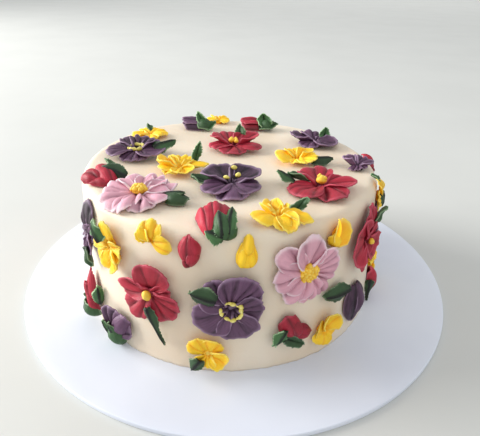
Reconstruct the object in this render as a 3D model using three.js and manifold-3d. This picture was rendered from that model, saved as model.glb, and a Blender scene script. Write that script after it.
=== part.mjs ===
import * as THREE from "three";
import { mergeVertices } from "three/addons/utils/BufferGeometryUtils.js";
import Module from "manifold-3d";

// A round iced cake, covered in piped flowers, on a flat round board.
// Millimetres, +Z up. The origin is the middle of the board's underside.

// Driving sizes
const boardDiameter = 305;
const boardThickness = 3;
const cakeTopRadius = 99;
const cakeBaseRadius = 101;
const cakeHeight = 90;
const cakeEdgeRadius = 6; // roundness of the cake's top edge
const cakeX = -4.7; // the cake stands a little off the board's middle
const cakeY = -7.8;
const seatGap = 0.3; // left between two pieces that touch
const flowerSeat = 0.5; // underside of a flower above the icing
const petalThickness = 1.8;
const leafThickness = 1.3;
const roundSegments = 64;
const edgeSteps = 2;

// Finishes
const finishes = {
  icing: { color: 0xeee4d2, roughness: 0.6 },
  board: { color: 0xf4f5f7, roughness: 0.45 },
  red: { color: 0xb32f4c, roughness: 0.5 },
  pink: { color: 0xd9a5bd, roughness: 0.5 },
  purple: { color: 0x5f4770, roughness: 0.5 },
  yellow: { color: 0xf7c934, roughness: 0.5 },
};
const materials = Object.fromEntries(
  Object.entries(finishes).map(([name, finish]) => [
    name,
    new THREE.MeshStandardMaterial({ ...finish, metalness: 0, flatShading: true }),
  ]),
);

const radians = THREE.MathUtils.degToRad;
const lerp = THREE.MathUtils.lerp;

// The cake's outline is followed from the middle of its top, over the round edge, down its side.
const flatRadius = cakeTopRadius - cakeEdgeRadius;
const edgeLength = cakeEdgeRadius * Math.PI / 2;
const sideHeight = cakeHeight - cakeEdgeRadius;

// Point at a distance along the outline, in a direction from the cake's axis, raised off the icing
function onCake(distance, direction, raise) {
  let radius = distance;
  let z = cakeHeight + raise;
  if (distance > flatRadius + edgeLength) {
    const down = distance - flatRadius - edgeLength;
    radius = cakeTopRadius + (cakeBaseRadius - cakeTopRadius) * down / sideHeight + raise;
    z = sideHeight - down;
  } else if (distance > flatRadius) {
    const bend = (distance - flatRadius) / cakeEdgeRadius;
    radius = flatRadius + (cakeEdgeRadius + raise) * Math.sin(bend);
    z = sideHeight + (cakeEdgeRadius + raise) * Math.cos(bend);
  }
  return [
    cakeX + radius * Math.cos(direction),
    cakeY + radius * Math.sin(direction),
    boardThickness + z,
  ];
}

// A flower is made flat: u to the right, v to the back or up the side, and a raise off the icing.
// This gives the function that lays such a point on the cake.
function layOnCake({ top, side, turn = 0, size = 1, mirror = false }) {
  const angle = radians(turn);
  const sign = mirror ? -1 : 1;
  return ([u, v, raise]) => {
    const across = size * (sign * u * Math.cos(angle) - v * Math.sin(angle));
    const up = size * (sign * u * Math.sin(angle) + v * Math.cos(angle));
    const off = flowerSeat + (raise - flowerSeat) * size;
    if (top) {
      const x = top[0] + across;
      const y = top[1] + up;
      return onCake(Math.hypot(x, y), Math.atan2(y, x), off);
    }
    const [direction, height] = side;
    const distance = flatRadius + edgeLength + sideHeight - height - up;
    return onCake(distance, radians(direction) + across / cakeTopRadius, off);
  };
}

// How far a petal reaches in a direction: it is an oval with the flower's middle near its near end
function petalReach([direction, length, width], angle) {
  const away = angle - radians(direction);
  const centre = 0.56 * length;
  const halfLength = 0.44 * length;
  const cos = Math.cos(away) / halfLength;
  const sin = Math.sin(away) / (width / 2);
  const along = cos * centre / halfLength;
  const square = cos * cos + sin * sin;
  const inside = along * along - square * ((centre / halfLength) ** 2 - 1);
  if (inside < 0 || cos < 0) {
    return 0;
  }
  return (along + Math.sqrt(inside)) / square;
}

// The direction in which one petal gives way to the next
function notchBetween(before, after) {
  let low = radians(before[0]);
  let high = radians(after[0]);
  const middle = (low + high) / 2;
  for (let step = 0; step < 24; step += 1) {
    const angle = (low + high) / 2;
    const lead = petalReach(before, angle) - petalReach(after, angle);
    if (lead + (middle - angle) * 0.001 > 0) {
      low = angle;
    } else {
      high = angle;
    }
  }
  return (low + high) / 2;
}

// The rim of all petals from notch to notch: each point's angle, reach, raise and fold
function bloomRim({ petals, steps, hub, rim, ruffle, notch }) {
  const round = [...petals].sort((a, b) => a[0] - b[0]);
  const count = round.length;
  return round.flatMap((petal, index) => {
    const before = [...round[(index + count - 1) % count]];
    const after = [...round[(index + 1) % count]];
    before[0] -= index === 0 ? 360 : 0;
    after[0] += index === count - 1 ? 360 : 0;
    const start = notchBetween(before, petal);
    const end = notchBetween(petal, after);
    const raise = petal[3] ?? rim;
    const notchRaise = Math.min(raise, before[3] ?? rim) - notch;
    const points = [];
    for (let step = 0; step < steps; step += 1) {
      const angle = lerp(start, end, step / steps);
      const wave = step % 2 ? ruffle : -ruffle;
      points.push({
        angle,
        reach: Math.max(petalReach(petal, angle), hub * 1.4),
        raise: step === 0 ? notchRaise : raise + wave,
        fold: wave * 0.6,
      });
    }
    return points;
  });
}

// All petals and the flower's middle as one closed body: rings of points from its top to its underside
function bloomMesh(design) {
  const rim = bloomRim(design);
  const ring = (share, raiseAt) =>
    rim.map((point) => {
      const reach = lerp(design.hub, point.reach, share);
      return [reach * Math.cos(point.angle), reach * Math.sin(point.angle), raiseAt(point)];
    });
  const rings = [
    ring(0, () => design.hubRaise),
    ring(0.55, (point) => design.middle + point.fold + (point.raise - design.rim) * 0.3),
    ring(1, (point) => point.raise),
  ];
  if (design.open) {
    rings.push(ring(0.94, (point) => Math.max(flowerSeat, point.raise - petalThickness)));
    rings.push(ring(0.3, () => flowerSeat));
  } else {
    rings.push(ring(0.9, () => flowerSeat));
  }
  const points = [[0, 0, design.centre], ...rings.flat(), [0, 0, flowerSeat]];
  const size = rim.length;
  const at = (level, index) => 1 + level * size + (index % size);
  const last = rings.length - 1;
  const faces = [];
  for (let index = 0; index < size; index += 1) {
    faces.push(0, at(0, index), at(0, index + 1));
    for (let level = 0; level < last; level += 1) {
      faces.push(at(level, index), at(level + 1, index), at(level + 1, index + 1));
      faces.push(at(level, index), at(level + 1, index + 1), at(level, index + 1));
    }
    faces.push(points.length - 1, at(last, index + 1), at(last, index));
  }
  return { points, faces };
}

// A thin wavy leaf, by rows from its root to its tip: half its width is a share of the full half,
// and the vein sinks below the edges by a share of the width. Both faces are split alike.
const leafRows = [
  { along: 0, half: 0.5, sink: 0.06, wave: 0 },
  { along: 0.34, half: 1, sink: 0.14, wave: 0.08 },
  { along: 0.7, half: 0.66, sink: 0.1, wave: -0.08 },
];

function leafMesh({ from, to, width, facing }) {
  const root = new THREE.Vector3(...from);
  const along = new THREE.Vector3(...to).sub(root);
  const sideways = facing === undefined
    ? Math.atan2(along.y, along.x) + Math.PI / 2
    : radians(facing + 180);
  const left = new THREE.Vector3(Math.cos(sideways), Math.sin(sideways), 0);
  const face = along.clone().cross(left).normalize();
  const upper = [];
  const lower = [];
  const add = (share, offset, rise) => {
    const point = root.clone().addScaledVector(along, share).addScaledVector(left, offset);
    point.addScaledVector(face, rise);
    upper.push(point.clone().addScaledVector(face, leafThickness / 2).toArray());
    lower.push(point.clone().addScaledVector(face, -leafThickness / 2).toArray());
  };
  for (const { along: share, half, sink, wave } of leafRows) {
    add(share, half * width / 2, wave * width);
    add(share, 0, -sink * width);
    add(share, -half * width / 2, -wave * width);
  }
  add(1, 0, 0);
  const lift = ([u, v, raise], least) => [u, v, Math.max(raise, least)];
  const points = [
    ...upper.map((point) => lift(point, flowerSeat + leafThickness)),
    ...lower.map((point) => lift(point, flowerSeat)),
  ];
  const under = upper.length;
  const tip = under - 1;
  const faces = [];
  const bothFaces = (a, b, c) => faces.push(a, b, c, under + a, under + c, under + b);
  for (const corner of [0, 1, 3, 4]) {
    bothFaces(corner, corner + 1, corner + 4);
    bothFaces(corner, corner + 4, corner + 3);
  }
  bothFaces(tip - 3, tip - 2, tip);
  bothFaces(tip - 2, tip - 1, tip);
  const border = [0, 1, 2, 5, 8, 9, 6, 3];
  border.forEach((start, index) => {
    const end = border[(index + 1) % border.length];
    faces.push(start, under + start, under + end, start, under + end, end);
  });
  return { points, faces };
}

// Designs of flowers, each used where its placement says. A petal is its direction in degrees,
// length, width and, where it isn't the design's own rim, the raise of its tip.
const open = {
  open: true,
  steps: 4,
  hub: 3,
  hubRaise: 6,
  centre: 7,
  middle: 4,
  rim: 6,
  ruffle: 0.7,
  notch: 1.4,
};
const small = { ...open, steps: 3, hub: 2.4, hubRaise: 4, centre: 4.6, middle: 3.6, rim: 5.6 };
const bud = {
  steps: 4,
  hub: 3,
  hubRaise: 6.6,
  centre: 7,
  middle: 5.8,
  rim: 2.2,
  ruffle: 0.4,
  notch: 0.3,
};
const pansy = { ...open, hub: 6, hubRaise: 5, centre: 2.2, rim: 6.6 };

const designs = {
  pansyRinged: {
    ...pansy,
    colour: "purple",
    petals: [[185, 21, 20], [118, 19, 16], [70, 17, 17], [345, 20, 21, 5], [270, 21, 21, 3.4]],
    leaves: [{ from: [13, 2, 3.4], to: [28, 9, 6.5], width: 11 }],
  },
  pansyDark: {
    ...pansy,
    hub: 4.5,
    colour: "purple",
    petals: [
      [138, 22, 20, 8.5],
      [42, 22, 20, 8.5],
      [330, 20, 16, 5],
      [275, 21, 17, 4],
      [215, 20, 16, 5],
    ],
    leaves: [{ from: [-12, 3, 3], to: [-25, 6, 5], width: 10 }],
  },
  pansySide: {
    ...open,
    hub: 2.6,
    hubRaise: 3.6,
    centre: 3,
    colour: "purple",
    petals: [[165, 19, 13, 7], [85, 13, 20, 8], [15, 18, 13, 6], [315, 15, 18, 5.5], [230, 11, 15, 5]],
    leaves: [{ from: [9, 5, 3.6], to: [13, 12, 9.5], width: 8, facing: 0 }],
  },
  pansyHigh: {
    ...pansy,
    colour: "purple",
    petals: [[128, 21, 18], [66, 22, 21], [0, 16, 17], [287, 20, 20], [213, 22, 21]],
    leaves: [{ from: [-7, 8, 4], to: [-19, 14, 7.5], width: 13 }],
  },
  pansyEdge: {
    ...open,
    hub: 2.8,
    hubRaise: 4,
    centre: 3.4,
    rim: 5.5,
    colour: "purple",
    petals: [[90, 18, 13], [160, 10, 13], [235, 15, 12], [295, 14, 12], [20, 10, 11]],
    leaves: [{ from: [2, -10, 3.6], to: [4, -21, 4], width: 9 }],
  },
  redWide: {
    ...open,
    hub: 2.8,
    colour: "red",
    petals: [
      [125, 20, 21, 7.5],
      [35, 24, 15, 7.5],
      [337, 23, 12, 7],
      [268, 19, 20, 5.5],
      [195, 19, 14, 5.5],
    ],
    leaves: [{ from: [6, 11, 4], to: [5, 18, 13], width: 9.5, facing: 0 }],
  },
  redFour: {
    ...open,
    hub: 3.4,
    hubRaise: 6.6,
    centre: 8.6,
    colour: "red",
    petals: [[102, 19, 17, 7.5], [3, 20, 17], [298, 21, 20, 5.5], [212, 23, 24, 5.5]],
    leaves: [{ from: [-7, 7, 3.6], to: [-26, 7, 7], width: 11 }],
  },
  redLong: {
    ...open,
    hub: 3.2,
    colour: "red",
    petals: [[77, 20, 22], [15, 17, 12], [322, 21, 21], [234, 25, 12], [187, 19, 13]],
    leaves: [{ from: [1, -7, 3], to: [7, -33, 2.6], width: 8.5 }],
  },
  redTall: {
    ...open,
    hub: 2.6,
    colour: "red",
    petals: [[82, 25, 15], [165, 19, 26], [253, 20, 13], [318, 18, 16], [10, 13, 14]],
    leaves: [{ from: [7, 9, 4], to: [17, 16, 8.5], width: 9 }],
  },
  pinkWide: {
    ...open,
    steps: 3,
    hub: 4.6,
    hubRaise: 6,
    colour: "pink",
    petals: [
      [95, 21, 16],
      [47, 20, 14],
      [5, 20, 13],
      [325, 18, 14],
      [282, 20, 17],
      [240, 20, 16],
      [188, 18, 24],
    ],
    leaves: [{ from: [12, -4, 3.4], to: [29, -13, 5], width: 10 }],
  },
  pinkTall: {
    ...open,
    hub: 5.6,
    hubRaise: 5.4,
    centre: 6,
    colour: "pink",
    petals: [[90, 23, 18], [130, 25, 15], [205, 21, 25], [268, 22, 18], [313, 24, 13], [5, 21, 20]],
    leaves: [{ from: [13, -15, 4], to: [36, -29, 5], width: 10 }],
  },
  yellowHalf: {
    ...small,
    colour: "yellow",
    petals: [[180, 15, 15], [105, 13, 15], [25, 15, 13], [300, 12, 14]],
    leaves: [{ from: [2, 7, 3.4], to: [-2, 15, 9], width: 5 }],
  },
  yellowRim: {
    ...small,
    steps: 4,
    colour: "yellow",
    petals: [[185, 10, 12], [90, 8, 12], [355, 10, 12]],
    leaves: [],
  },
  yellowSpoon: {
    ...small,
    colour: "yellow",
    petals: [[180, 15, 17], [100, 12, 13], [35, 15, 9, 7], [320, 14, 12, 6.6], [250, 10, 12]],
    leaves: [{ from: [7, 0, 3.4], to: [25, -2, 5.6], width: 10 }],
  },
  yellowPointed: {
    ...small,
    colour: "yellow",
    petals: [[170, 16, 15], [85, 12, 13], [8, 18, 9, 6.4], [290, 13, 14], [235, 14, 12]],
    leaves: [{ from: [8, 5, 3.6], to: [12, 10, 15], width: 8.5, facing: 0 }],
  },
  yellowCross: {
    ...small,
    colour: "yellow",
    petals: [[110, 16, 11], [52, 12, 10], [350, 17, 11], [282, 11, 16], [200, 17, 13]],
    leaves: [{ from: [8, 4, 4], to: [17, 10, 10], width: 8, facing: 0 }],
  },
  yellowFive: {
    ...small,
    colour: "yellow",
    petals: [[95, 15, 10], [165, 14, 10], [235, 15, 12], [288, 17, 12], [350, 12, 13]],
    leaves: [{ from: [-4, 4, 3.6], to: [-12, 17, 7], width: 10 }],
  },
  yellowPair: {
    ...small,
    steps: 4,
    colour: "yellow",
    petals: [[110, 12, 13], [335, 12, 15], [215, 9, 12]],
    leaves: [],
  },
  yellowStack: {
    ...small,
    colour: "yellow",
    petals: [[66, 13, 16], [322, 9, 11], [250, 11, 15], [160, 7, 13]],
    leaves: [],
  },
  yellowFan: {
    ...small,
    colour: "yellow",
    petals: [[137, 15, 12], [75, 13, 12], [340, 11, 11], [235, 6, 9]],
    leaves: [{ from: [-3, -3, 3.6], to: [-11, -9, 5.6], width: 8 }],
  },
  purplePair: {
    ...small,
    steps: 4,
    colour: "purple",
    petals: [[150, 12, 11, 7.5], [35, 9, 13, 7.5], [270, 7, 14, 3.6]],
    leaves: [],
  },
  purpleBud: {
    ...bud,
    centre: 9.4,
    hubRaise: 8.8,
    middle: 7.4,
    colour: "purple",
    petals: [[180, 13, 13], [0, 10, 12]],
    leaves: [
      { from: [6, -3, 3], to: [2, 0, 15], width: 9, facing: 0 },
      { from: [6, -1, 3], to: [17, 1, 7.5], width: 7 },
    ],
  },
  purpleFan: {
    ...bud,
    centre: 6,
    hubRaise: 5.6,
    middle: 5,
    rim: 3,
    colour: "purple",
    petals: [[140, 11, 11], [55, 10, 16], [325, 10, 12], [235, 7, 12]],
    leaves: [{ from: [-5, 0, 4], to: [2, -13, 5], width: 10 }],
  },
  purpleLong: {
    ...bud,
    hub: 4,
    centre: 5.6,
    hubRaise: 5.4,
    middle: 5,
    colour: "purple",
    petals: [[93, 12, 19], [267, 16, 19]],
    leaves: [],
  },
  redBroad: {
    ...bud,
    centre: 8.6,
    hubRaise: 8.2,
    middle: 6.8,
    colour: "red",
    petals: [[178, 12, 15], [0, 11, 14]],
    leaves: [
      { from: [9, -4, 3], to: [6, 0, 14], width: 13, facing: 0 },
      { from: [9, -2, 3], to: [21, 0, 7], width: 7 },
    ],
  },
  redSplit: {
    ...bud,
    colour: "red",
    petals: [[155, 13, 12, 4], [98, 15, 13, 7], [330, 9, 16]],
    leaves: [
      { from: [6, 3, 3.4], to: [21, 0, 6], width: 13 },
      { from: [4, 4, 5], to: [8, 14, 9], width: 6 },
    ],
  },
  redCupped: {
    ...bud,
    hub: 4,
    centre: 8.4,
    hubRaise: 8,
    middle: 6.6,
    colour: "red",
    petals: [[128, 13, 18], [55, 11, 13], [300, 8, 17]],
    leaves: [
      { from: [3, -7, 4.4], to: [-2.5, -3, 8.4], width: 8 },
      { from: [4, -6.5, 4.6], to: [3.4, 3, 9.6], width: 7 },
      { from: [6, -6, 4], to: [10, 5, 8.6], width: 8 },
    ],
  },
  redTulip: {
    ...bud,
    colour: "red",
    petals: [[95, 17, 12, 3], [165, 9, 10], [270, 13, 13]],
    leaves: [
      { from: [-1, -11, 3], to: [-9, 3, 7], width: 9 },
      { from: [2, -10, 3], to: [9, 4, 7], width: 8 },
    ],
  },
  redEgg: {
    ...bud,
    hub: 2.6,
    colour: "red",
    petals: [[93, 8.5, 12], [272, 9.5, 11]],
    leaves: [],
  },
  redTwin: {
    ...bud,
    colour: "red",
    petals: [[122, 12, 13], [335, 14, 11], [235, 7, 10]],
    leaves: [
      { from: [-3, -2, 3], to: [-11, -9, 5], width: 8 },
      { from: [0, -4, 3], to: [9, -16, 3], width: 7 },
    ],
  },
  redSlim: {
    ...bud,
    hub: 2.4,
    colour: "red",
    petals: [[93, 11, 9], [270, 9.5, 9]],
    leaves: [{ from: [1, -4, 4], to: [-2, -15, 2.8], width: 8 }],
  },
  yellowBud: {
    ...bud,
    hub: 2.2,
    centre: 5.6,
    hubRaise: 5.4,
    middle: 4.8,
    colour: "yellow",
    petals: [[80, 9, 10], [265, 9.5, 12]],
    leaves: [],
  },
  yellowTulip: {
    ...bud,
    hub: 2.4,
    centre: 6,
    hubRaise: 5.8,
    middle: 5,
    colour: "yellow",
    petals: [[62, 10, 13], [240, 9.5, 9], [150, 7, 9]],
    leaves: [],
  },
};

// Every flower's name, design and place: on the top by x and y from the cake's axis, in mm, or on the
// side by its direction round the cake, in degrees, and its height above the board, in mm.
const flowers = [
  { name: "top_pansy_left", design: "pansyRinged", top: [-66.5, 5.5] },
  { name: "top_primrose_left", design: "yellowHalf", top: [-64, 46] },
  { name: "top_bud_back", design: "purpleBud", top: [-30, 70] },
  { name: "top_primrose_back", design: "yellowRim", top: [-13, 88] },
  { name: "top_blossom_back", design: "redWide", top: [1.5, 24] },
  { name: "top_tulip_back", design: "redBroad", top: [17, 73] },
  { name: "top_pansy_right", design: "pansySide", top: [63.5, 39] },
  { name: "top_primrose_right", design: "yellowSpoon", top: [46, 0] },
  { name: "top_blossom_right", design: "redFour", top: [56, -44] },
  { name: "top_pansy_front", design: "pansyDark", top: [1.5, -45] },
  { name: "top_primrose_centre", design: "yellowPointed", top: [-32.5, -21] },
  { name: "top_blossom_front", design: "pinkWide", top: [-51, -61] },
  { name: "top_tulip_left", design: "redSplit", top: [-77.5, -37] },
  { name: "top_pair_right", design: "purplePair", top: [85, -10] },
  { name: "top_primrose_front", design: "yellowCross", top: [28, -84] },
  { name: "top_tulip_front", design: "redCupped", top: [-6, -90] },
  { name: "side_primrose_1", design: "yellowPair", side: [249, 80.5], size: 0.85 },
  { name: "side_primrose_2", design: "yellowFive", side: [229.8, 68.5] },
  { name: "side_pansy_1", design: "pansyEdge", side: [215.5, 66] },
  { name: "side_tulip_1", design: "redTulip", side: [215.5, 21] },
  { name: "side_bud_1", design: "purpleFan", side: [231.8, 16] },
  { name: "side_blossom_1", design: "redLong", side: [246.3, 49] },
  { name: "side_bud_2", design: "redEgg", side: [259.3, 79] },
  { name: "side_pansy_2", design: "pansyHigh", side: [272, 46.5] },
  { name: "side_primrose_3", design: "yellowFan", side: [265, 14.5] },
  { name: "side_bud_3", design: "yellowBud", side: [276.3, 79.5] },
  { name: "side_blossom_2", design: "pinkTall", side: [295.6, 63.5] },
  { name: "side_tulip_2", design: "yellowTulip", side: [307.5, 80.5] },
  { name: "side_blossom_3", design: "redTall", side: [324.5, 62] },
  { name: "side_bud_4", design: "redTwin", side: [292, 26] },
  { name: "side_primrose_4", design: "yellowStack", side: [304.5, 18] },
  { name: "side_petal_1", design: "purpleLong", side: [320.8, 25] },
  { name: "side_bud_5", design: "redSlim", side: [343.5, 16.5] },
  { name: "side_primrose_5", design: "yellowHalf", side: [343, 80], turn: 100, size: 0.8 },
  { name: "side_primrose_6", design: "yellowRim", side: [341, 42], turn: 60 },
  { name: "side_tulip_3", design: "redEgg", side: [8, 85], turn: -40, size: 0.85 },
  { name: "side_pansy_3", design: "pansyHigh", side: [2, 50], turn: 150, size: 0.92 },
  { name: "side_primrose_7", design: "yellowFan", side: [356, 14], mirror: true },
  { name: "side_primrose_8", design: "yellowFive", side: [23, 71], turn: 200 },
  { name: "side_blossom_4", design: "pinkWide", side: [21, 29], turn: 40, mirror: true },
  { name: "side_blossom_5", design: "redFour", side: [45, 61], turn: -25 },
  { name: "side_bud_6", design: "purpleBud", side: [43, 15], turn: 35 },
  { name: "side_bud_7", design: "yellowBud", side: [65, 78.5], turn: 20, size: 0.8 },
  { name: "side_pansy_4", design: "pansyRinged", side: [67, 42], turn: 80, size: 0.95 },
  { name: "side_blossom_6", design: "pinkTall", side: [89, 60], turn: 180, size: 0.9 },
  { name: "side_tulip_4", design: "redTwin", side: [87, 19], mirror: true },
  { name: "side_bud_8", design: "redEgg", side: [109, 78], turn: 30, size: 0.85 },
  { name: "side_primrose_9", design: "yellowPointed", side: [107, 40], turn: 60 },
  { name: "side_pansy_5", design: "pansyDark", side: [131, 62], turn: 15, size: 0.95 },
  { name: "side_primrose_10", design: "yellowStack", side: [127, 18], turn: -30 },
  { name: "side_tulip_5", design: "yellowTulip", side: [149, 78.5], mirror: true, size: 0.8 },
  { name: "side_blossom_7", design: "redWide", side: [151, 47], turn: -50 },
  { name: "side_bud_9", design: "purpleFan", side: [146, 14], mirror: true },
  { name: "side_primrose_11", design: "yellowSpoon", side: [168, 69], turn: 180 },
  { name: "side_blossom_8", design: "pinkWide", side: [169.5, 26.5], turn: 90, size: 0.9 },
  { name: "side_tulip_6", design: "redEgg", side: [113.5, 14], turn: 20, size: 0.75 },
  { name: "side_primrose_12", design: "yellowBud", side: [185, 50], turn: -60, size: 0.75 },
  { name: "side_bud_10", design: "redEgg", side: [55.5, 13.5], turn: -35, size: 0.75 },
];

// Closed meshes as solids that can be joined and cut
const wasm = await Module();
wasm.setup();

function toSolid(vertices, faces) {
  return new wasm.Manifold(
    new wasm.Mesh({
      numProp: 3,
      vertProperties: new Float32Array(vertices),
      triVerts: new Uint32Array(faces),
    }),
  );
}

function solidMesh(solid) {
  const { vertProperties, triVerts } = solid.getMesh();
  const geometry = new THREE.BufferGeometry();
  geometry.setAttribute("position", new THREE.BufferAttribute(vertProperties, 3));
  geometry.setIndex(new THREE.BufferAttribute(triVerts, 1));
  return geometry;
}

// A round body from its outline as pairs of radius and height
function turned(outline) {
  const profile = outline.map(([radius, height]) => new THREE.Vector2(radius, height));
  return new THREE.LatheGeometry(profile, roundSegments).rotateX(Math.PI / 2);
}

function boardGeometry() {
  const radius = boardDiameter / 2;
  return turned([[0, 0], [radius, 0], [radius, boardThickness], [0, boardThickness]]);
}

// The iced cake, or a body grown round it by a margin
function cakeGeometry(margin = 0) {
  const reach = cakeEdgeRadius + margin;
  const outline = [[0, seatGap], [cakeBaseRadius + margin, seatGap]];
  for (let step = 0; step <= edgeSteps; step += 1) {
    const bend = Math.PI / 2 * step / edgeSteps;
    outline.push([flatRadius + reach * Math.cos(bend), sideHeight + reach * Math.sin(bend)]);
  }
  outline.push([0, cakeHeight + margin]);
  return turned(outline).translate(cakeX, cakeY, boardThickness);
}

function cakeSolid(margin) {
  const geometry = cakeGeometry(margin);
  const merged = mergeVertices(new THREE.BufferGeometry()
    .setIndex(geometry.index)
    .setAttribute("position", geometry.getAttribute("position")));
  return toSolid(merged.getAttribute("position").array, merged.index.array);
}

const grownCake = cakeSolid(seatGap);

function flowerGeometry(placement) {
  const design = designs[placement.design];
  const lay = layOnCake(placement);
  const layMesh = ({ points, faces }) =>
    toSolid(points.flatMap(lay), placement.mirror ? faces.toReversed() : faces);
  let solid = layMesh(bloomMesh(design));
  for (const leaf of design.leaves) {
    solid = solid.add(layMesh(leafMesh(leaf)));
  }
  // A flower that bends over the cake's edge is cut to fit it.
  if (solid.intersect(grownCake).volume() > 1) {
    solid = solid.subtract(grownCake);
  }
  return solidMesh(solid);
}

const cakeOnBoard = new THREE.Group();

function addPiece(name, geometry, material) {
  const mesh = new THREE.Mesh(geometry, material);
  mesh.name = name;
  cakeOnBoard.add(mesh);
}

addPiece("board", boardGeometry(), materials.board);
addPiece("cake", cakeGeometry(), materials.icing);
for (const flower of flowers) {
  addPiece(flower.name, flowerGeometry(flower), materials[designs[flower.design].colour]);
}

export default cakeOnBoard;
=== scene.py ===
import math

import bpy
import numpy as np
from mathutils import Matrix, Vector, noise


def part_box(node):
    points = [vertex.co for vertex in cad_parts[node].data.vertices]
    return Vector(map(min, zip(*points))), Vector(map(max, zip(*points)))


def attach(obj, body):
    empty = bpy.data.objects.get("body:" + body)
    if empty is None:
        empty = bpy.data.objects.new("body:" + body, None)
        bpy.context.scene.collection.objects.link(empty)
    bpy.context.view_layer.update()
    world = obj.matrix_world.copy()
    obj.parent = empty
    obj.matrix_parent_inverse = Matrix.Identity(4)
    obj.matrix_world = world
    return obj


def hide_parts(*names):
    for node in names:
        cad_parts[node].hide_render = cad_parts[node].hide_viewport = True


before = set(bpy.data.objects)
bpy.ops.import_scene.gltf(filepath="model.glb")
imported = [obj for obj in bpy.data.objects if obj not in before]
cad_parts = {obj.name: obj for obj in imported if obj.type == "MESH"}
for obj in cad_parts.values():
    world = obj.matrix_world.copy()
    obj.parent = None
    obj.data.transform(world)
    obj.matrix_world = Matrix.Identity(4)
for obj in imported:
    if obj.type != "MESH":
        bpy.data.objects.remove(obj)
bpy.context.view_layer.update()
print("frame loaded:", len(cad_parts), "nodes")

mm = 0.001  # the flowers' tables are in millimetres and degrees, and layOnCake gives metres
randomDraws = np.random.default_rng(20)

# The cake's sizes come from its node in the frame
cakeLow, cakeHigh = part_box("cake")
boardLow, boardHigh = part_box("board")
cake = {
    "middle": ((cakeLow.x + cakeHigh.x) / 2, (cakeLow.y + cakeHigh.y) / 2),
    "baseRadius": (cakeHigh.x - cakeLow.x) / 2,
    "topRadius": (cakeHigh.x - cakeLow.x) / 2 - 2 * mm,
    "edgeRadius": 6 * mm,
    "height": cakeHigh.z - boardHigh.z,
    "columns": 300,
    "rows": 150,
    "unevenness": 0.45 * mm,  # long swells left by the palette knife
    "edgeWander": 0.9 * mm,  # how far the top edge wanders up and down, in a band along it
    "edgeBand": 7 * mm,
    "raggedness": 0.7 * mm,  # of the foot, in a band along it
    "footBand": 6 * mm,
    "sunk": 0.2 * mm,  # the base goes this far into the board, so no gap shows
}
flatRadius = cake["topRadius"] - cake["edgeRadius"]
edgeLength = cake["edgeRadius"] * math.pi / 2
sideHeight = cake["height"] - cake["edgeRadius"]
sideLean = (cake["baseRadius"] - cake["topRadius"]) / sideHeight


def smoothStep(low, high, value):
    share = np.clip((value - low) / (high - low), 0, 1)
    return share * share * (3 - 2 * share)


# Points by distance along the cake's outline from the middle of its top, direction, and height off the icing
def onCake(distance, direction, raised):
    bend = np.clip((distance - flatRadius) / cake["edgeRadius"], 0, math.pi / 2)
    down = np.maximum(distance - flatRadius - edgeLength, 0)
    flat = distance < flatRadius
    side = flatRadius + (cake["edgeRadius"] + raised) * np.sin(bend) + sideLean * down
    radius = np.where(flat, distance, side)
    height = sideHeight - down + (cake["edgeRadius"] + raised) * np.cos(bend)
    height = np.where(flat, cake["height"] + raised, height)
    return np.column_stack((
        cake["middle"][0] + radius * np.cos(direction),
        cake["middle"][1] + radius * np.sin(direction),
        boardHigh.z + height,
    ))


# A flower is modelled flat, in millimetres: u to the right, v to the back or up the side, and raised off the
# icing. This gives the function that lays such points at a spot on the cake's top or side.
def layOnCake(spot):
    angle = math.radians(spot["turn"])
    size = spot["size"]
    sign = -1 if spot["mirror"] else 1

    def lay(u, v, raised):
        across = size * mm * (sign * u * math.cos(angle) - v * math.sin(angle))
        up = size * mm * (sign * u * math.sin(angle) + v * math.cos(angle))
        off = size * mm * raised
        if spot["onTop"]:
            x = spot["at"][0] * mm + across
            y = spot["at"][1] * mm + up
            return onCake(np.hypot(x, y), np.arctan2(y, x), off)
        direction, height = spot["at"]
        distance = flatRadius + edgeLength + sideHeight - height * mm - up
        return onCake(distance, math.radians(direction) + across / cake["topRadius"], off)

    return lay


# Blender steps that every piece uses

def deselectAll():
    bpy.ops.object.select_all(action="DESELECT")


def addGrid(columns, rows):
    bpy.ops.mesh.primitive_grid_add(x_subdivisions=columns, y_subdivisions=rows, size=2, calc_uvs=False)
    return bpy.context.object


def meshPoints(piece):
    points = np.empty(len(piece.data.vertices) * 3, np.float32)
    piece.data.vertices.foreach_get("co", points)
    return points.reshape(-1, 3).astype(float)


def setPoints(piece, points):
    piece.data.vertices.foreach_set("co", points.astype(np.float32).ravel())
    piece.data.update()


def setMark(piece, markName, values):
    mark = piece.data.attributes.new(markName, "FLOAT", "POINT")
    mark.data.foreach_set("value", np.broadcast_to(values, len(piece.data.vertices)).astype(np.float32))


def joinAs(parts, name):
    deselectAll()
    for part in parts:
        part.select_set(True)
    bpy.context.view_layer.objects.active = parts[0]
    if len(parts) > 1:
        bpy.ops.object.join()
    piece = bpy.context.object
    piece.name = piece.data.name = name
    return piece


def applyModifiers(piece):
    bpy.context.view_layer.objects.active = piece
    for modifier in list(piece.modifiers):
        bpy.ops.object.modifier_apply(modifier=modifier.name)


# Gives joined sheets their thickness, thinner where the mark "thin" is 1, and smooths their shading
def thicken(piece, look, size):
    group = piece.vertex_groups.new(name="thick")
    thin = np.empty(len(piece.data.vertices), np.float32)
    piece.data.attributes["thin"].data.foreach_get("value", thin)
    for index, share in enumerate(1 - thin):
        group.add([index], float(share), "REPLACE")
    solidify = piece.modifiers.new("thickness", "SOLIDIFY")
    solidify.thickness = look["thickness"] * mm * size
    solidify.offset = look["offset"]
    solidify.vertex_group = group.name
    solidify.thickness_vertex_group = look["thinShare"]
    applyModifiers(piece)
    piece.vertex_groups.clear()
    bpy.ops.object.shade_smooth()


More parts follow.
